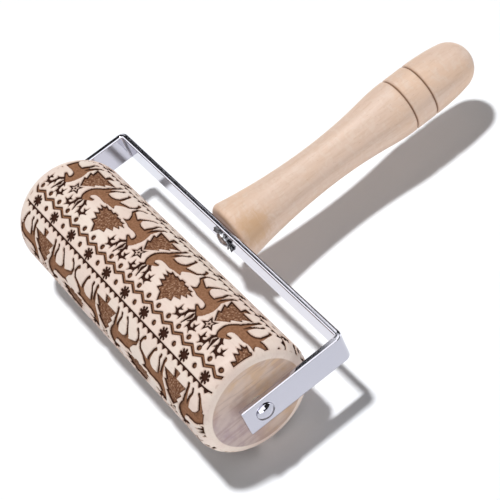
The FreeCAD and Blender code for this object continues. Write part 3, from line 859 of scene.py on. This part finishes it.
def handle_material():
    """Turned beech, pale and finely mottled, with two burnt grooves, painted shade round the foot and a
    darker patch by the base.
    """
    shader = Shader("turned_beech")
    pale, ringed, warm = (0.665, 0.50, 0.405), (0.62, 0.46, 0.365), (0.67, 0.475, 0.35)
    rippled, fibre_brown, ray_brown = (0.68, 0.54, 0.45), (0.56, 0.38, 0.265), (0.40, 0.25, 0.17)
    patch_brown, burn_and_foot_shade_brown = (0.54, 0.335, 0.185), (0.16, 0.078, 0.040)
    patch_place = (10.5, CROSSBAR_BACK + 6.8, 5.0)
    rings = wood_rings(shader, (1.0, 0.05, 1.0), (22.0, 0.0, -30.0), 3.4)
    fibre = shader.noise(shader.place((1.0, 0.12, 1.0)), 1.0, detail=4.0, roughness=0.6, distortion=0.4)
    ripple = shader.noise(shader.place((0.6, 1.0, 0.6)), 2.2, detail=3.0, distortion=1.0)
    rays = shader.cells(shader.place((1.0, 0.22, 1.0)), 0.9)
    broad = shader.noise(shader.place((1.0, 0.5, 1.0)), 13.0, detail=3.0)
    colour = shader.mix(shader.math("MULTIPLY", rings, 0.5), pale, ringed)
    colour = shader.mix(shader.span(broad, 0.42, 0.66, 0.0, 0.8), colour, warm)
    colour = shader.mix(shader.span(ripple, 0.46, 0.66, 0.0, 0.55), colour, rippled)
    colour = shader.mix(shader.span(fibre, 0.46, 0.75, 0.0, 0.45), colour, fibre_brown)
    colour = shader.mix(shader.span(rays, 0.15, 0.07, 0.0, 0.35), colour, ray_brown)
    # Darker brown patch on the +X side a little above the base, with a ragged edge.
    ragged = shader.math("MULTIPLY", ripple, 6.0)
    patch_reach = shader.math("ADD", shader.away_from(shader.place(), patch_place), ragged)
    colour = shader.mix(shader.span(patch_reach, 5.5, 13.0, 0.75, 0.0), colour, patch_brown)
    # The burn attribute holds the burnt grooves and the painted contact shade at the foot.
    colour = shader.mix(shader.attribute("burn"), colour, burn_and_foot_shade_brown)
    shader.set(Base_Color=colour, Roughness=0.48, Specular_IOR_Level=0.28)
    shader.set(Normal=shader.bump(fibre, 0.2, 0.06))
    return shader.material


def chrome_material():
    """Polished plate with faint smudges and hairline scratches."""
    shader = Shader("polished_chrome")
    smudge = shader.noise(shader.place(), 5.0, detail=4.0)
    scratches = shader.noise(shader.place((0.06, 1.0, 1.0)), 0.5, detail=2.0)
    shader.set(Base_Color=(0.53, 0.525, 0.585, 1.0), Metallic=1.0)
    shader.set(Roughness=shader.span(smudge, 0.3, 0.7, 0.045, 0.085))
    shader.set(Normal=shader.bump(scratches, 0.006, 0.01))
    return shader.material


def zinc_material(name, colour, rough):
    """Plated steel with a fine uneven sheen."""
    shader = Shader(name)
    grain = shader.noise(shader.place(), 0.5, detail=3.0)
    cloud = shader.noise(shader.place(), 1.8, detail=2.0)
    darker = tuple(0.72 * part for part in colour)
    shader.set(Base_Color=shader.mix(shader.span(cloud, 0.35, 0.65), colour, darker), Metallic=1.0)
    shader.set(Roughness=shader.span(grain, 0.3, 0.7, rough, rough + 0.15))
    shader.set(Normal=shader.bump(grain, 0.1, 0.02))
    return shader.material


def nylon_material():
    """Off-white plastic with a faintly uneven gloss."""
    shader = Shader("natural_nylon")
    cloud = shader.noise(shader.place(), 2.0)
    shader.set(Base_Color=shader.mix(cloud, (0.72, 0.70, 0.62), (0.80, 0.78, 0.72)))
    shader.set(Roughness=shader.span(cloud, 0.3, 0.7, 0.36, 0.50))
    return shader.material


def floor_material():
    """Matt white floor, a little blue to offset the warm light that the wood throws on it."""
    shader = Shader("white_floor")
    shader.set(Base_Color=(0.878, 0.90, 0.932, 1.0), Roughness=0.9)
    shader.set(Specular_IOR_Level=0.0)
    return shader.material


def dress(item, material):
    """Give an object this one material."""
    item.data.materials.clear()
    item.data.materials.append(material)


# ------------------------------------------------------------------ stage

CAMERA_PLACE = Vector((406.9, -71.4, 421.9)) * MM
CAMERA_TARGET = Vector((12.3, 36.7, 0.0)) * MM
CAMERA_ROLL = math.radians(26.3)
CAMERA_LENS = 117.5
FLOOR_SIZE = 3.0
KEY_FROM = Vector((-6.6, 1.0, 22.5))
KEY_STRENGTH = 3.08
KEY_SPREAD = math.radians(6)
FILL_FROM = Vector((8.0, -4.5, 1.2))
FILL_STRENGTH = 1.45
BACK_FROM = Vector((1.0, 8.0, 1.6))
BACK_STRENGTH = 0.75
SOFT_SPREAD = math.radians(30)
SKY_ON_MATT = 0.10
SKY_ON_METAL = 1.9
SKY_DARK = 0.03
# Where each part of the sky begins and where it is full, by a direction's x, y or z.
ABOVE_Z = (0.12, 0.32)
BEYOND_Y = (0.203, 0.212)
BEYOND_Z = (0.80, 0.76)
FLAG_NEAR_Y = (0.060, 0.080)
FLAG_FAR_Y = (0.192, 0.187)
FLAG_SIDE_X = (-0.1, -0.3)


def make_camera():
    """Long lens that looks down from the +X side, rolled so that the tool lies across the picture."""
    data = bpy.data.cameras.new("camera")
    data.lens = CAMERA_LENS
    data.sensor_width = 36.0
    data.clip_start = 0.01
    data.clip_end = 20.0
    camera = bpy.data.objects.new("camera", data)
    bpy.context.scene.collection.objects.link(camera)
    forward = (CAMERA_TARGET - CAMERA_PLACE).normalized()
    level = forward.cross(Vector((0, 0, 1))).normalized()
    upright = level.cross(forward)
    up = upright * math.cos(CAMERA_ROLL) + level * math.sin(CAMERA_ROLL)
    right = forward.cross(up)
    turn = Matrix((right, up, -forward)).transposed()
    camera.matrix_world = Matrix.Translation(CAMERA_PLACE) @ turn.to_4x4()
    bpy.context.scene.camera = camera


def make_floor():
    """Level floor that the barrel lies on."""
    half, height = FLOOR_SIZE / 2, cad_bounds[0][2]
    corners = [(-half, -half, height), (half, -half, height), (half, half, height), (-half, half, height)]
    mesh = bpy.data.meshes.new("floor")
    mesh.from_pydata(corners, [], [(0, 1, 2, 3)])
    floor = bpy.data.objects.new("floor", mesh)
    bpy.context.scene.collection.objects.link(floor)
    dress(floor, floor_material())


def make_lamp(name, source, strength, spread, casts_shadow):
    """Distant lamp that shines from the direction of source."""
    lamp = bpy.data.lights.new(name, "SUN")
    lamp.energy = strength
    lamp.angle = spread
    lamp.use_shadow = casts_shadow
    item = bpy.data.objects.new(name, lamp)
    item.rotation_euler = source.to_track_quat("Z", "Y").to_euler()
    bpy.context.scene.collection.objects.link(item)


def make_sky():
    """Soft white studio; metal sees it brighter, dark at the horizon and on two sides."""
    world = bpy.data.worlds.new("studio")
    bpy.context.scene.world = world
    world.use_nodes = True
    sky = Nodes(world.node_tree)
    direction = sky.node("ShaderNodeTexCoord").outputs["Generated"]
    x, y, z = sky.node("ShaderNodeSeparateXYZ", inputs={0: direction}).outputs
    above = sky.span(z, *ABOVE_Z)
    beyond = sky.math("MULTIPLY", sky.span(y, *BEYOND_Y), sky.span(z, *BEYOND_Z))
    flag = sky.math("MULTIPLY", sky.span(y, *FLAG_NEAR_Y), sky.span(y, *FLAG_FAR_Y))
    flag = sky.math("MULTIPLY", flag, sky.span(x, *FLAG_SIDE_X))
    lit = sky.math("SUBTRACT", 1.0, sky.math("MAXIMUM", beyond, flag))
    on_metal = sky.span(sky.math("MULTIPLY", above, lit), 0.0, 1.0, SKY_DARK, SKY_ON_METAL, smooth=False)
    ray = sky.node("ShaderNodeLightPath").outputs
    strength = sky.mix_value(ray["Is Glossy Ray"], SKY_ON_MATT, on_metal)
    strength = sky.mix_value(ray["Is Camera Ray"], strength, 1.0)
    background = world.node_tree.nodes["Background"].inputs
    sky.put(background["Strength"], strength)
    sky.put(background["Color"], (1.0, 1.0, 1.0, 1.0))


# ------------------------------------------------------------------ put it together


def main():
    """Make and dress the pieces, hide the CAD node each replaces, tie each to its body, and set the stage.
    """
    chrome = chrome_material()
    zinc = zinc_material("zinc_plate", (0.62, 0.63, 0.66), 0.16)
    dark_zinc = zinc_material("dark_zinc", (0.16, 0.16, 0.17), 0.22)
    nylon = nylon_material()
    pieces = [
        (make_barrel(), "roller_barrel", "roller", "barrel_wood", barrel_material()),
        (make_strip(), "frame_bracket", "frame", "chrome_steel", chrome),
        (make_rod(), "axle_rod", "frame", "chrome_steel", chrome),
        (make_rivet_cap(), "axle_rivet_cap", "frame", "chrome_steel", chrome),
        (make_handle(), "handle", "frame", "handle_wood", handle_material()),
        (make_screw(), "handle_screw", "frame", "zinc_steel", zinc),
        (make_lock_washer(), "lock_washer", "frame", "zinc_steel", dark_zinc),
    ]
    for piece, node, body, slot, material in pieces:
        dress(piece, material)
        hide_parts(node)
        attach(piece, body)
    for side in ("left", "right"):
        dress(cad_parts["washer_" + side], zinc)
        dress(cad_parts["bush_" + side], nylon)

    make_camera()
    make_floor()
    make_lamp("key", KEY_FROM, KEY_STRENGTH, KEY_SPREAD, True)
    make_lamp("fill", FILL_FROM, FILL_STRENGTH, SOFT_SPREAD, False)
    make_lamp("back", BACK_FROM, BACK_STRENGTH, SOFT_SPREAD, False)
    make_sky()
    bpy.context.scene.view_settings.view_transform = "Standard"


main()
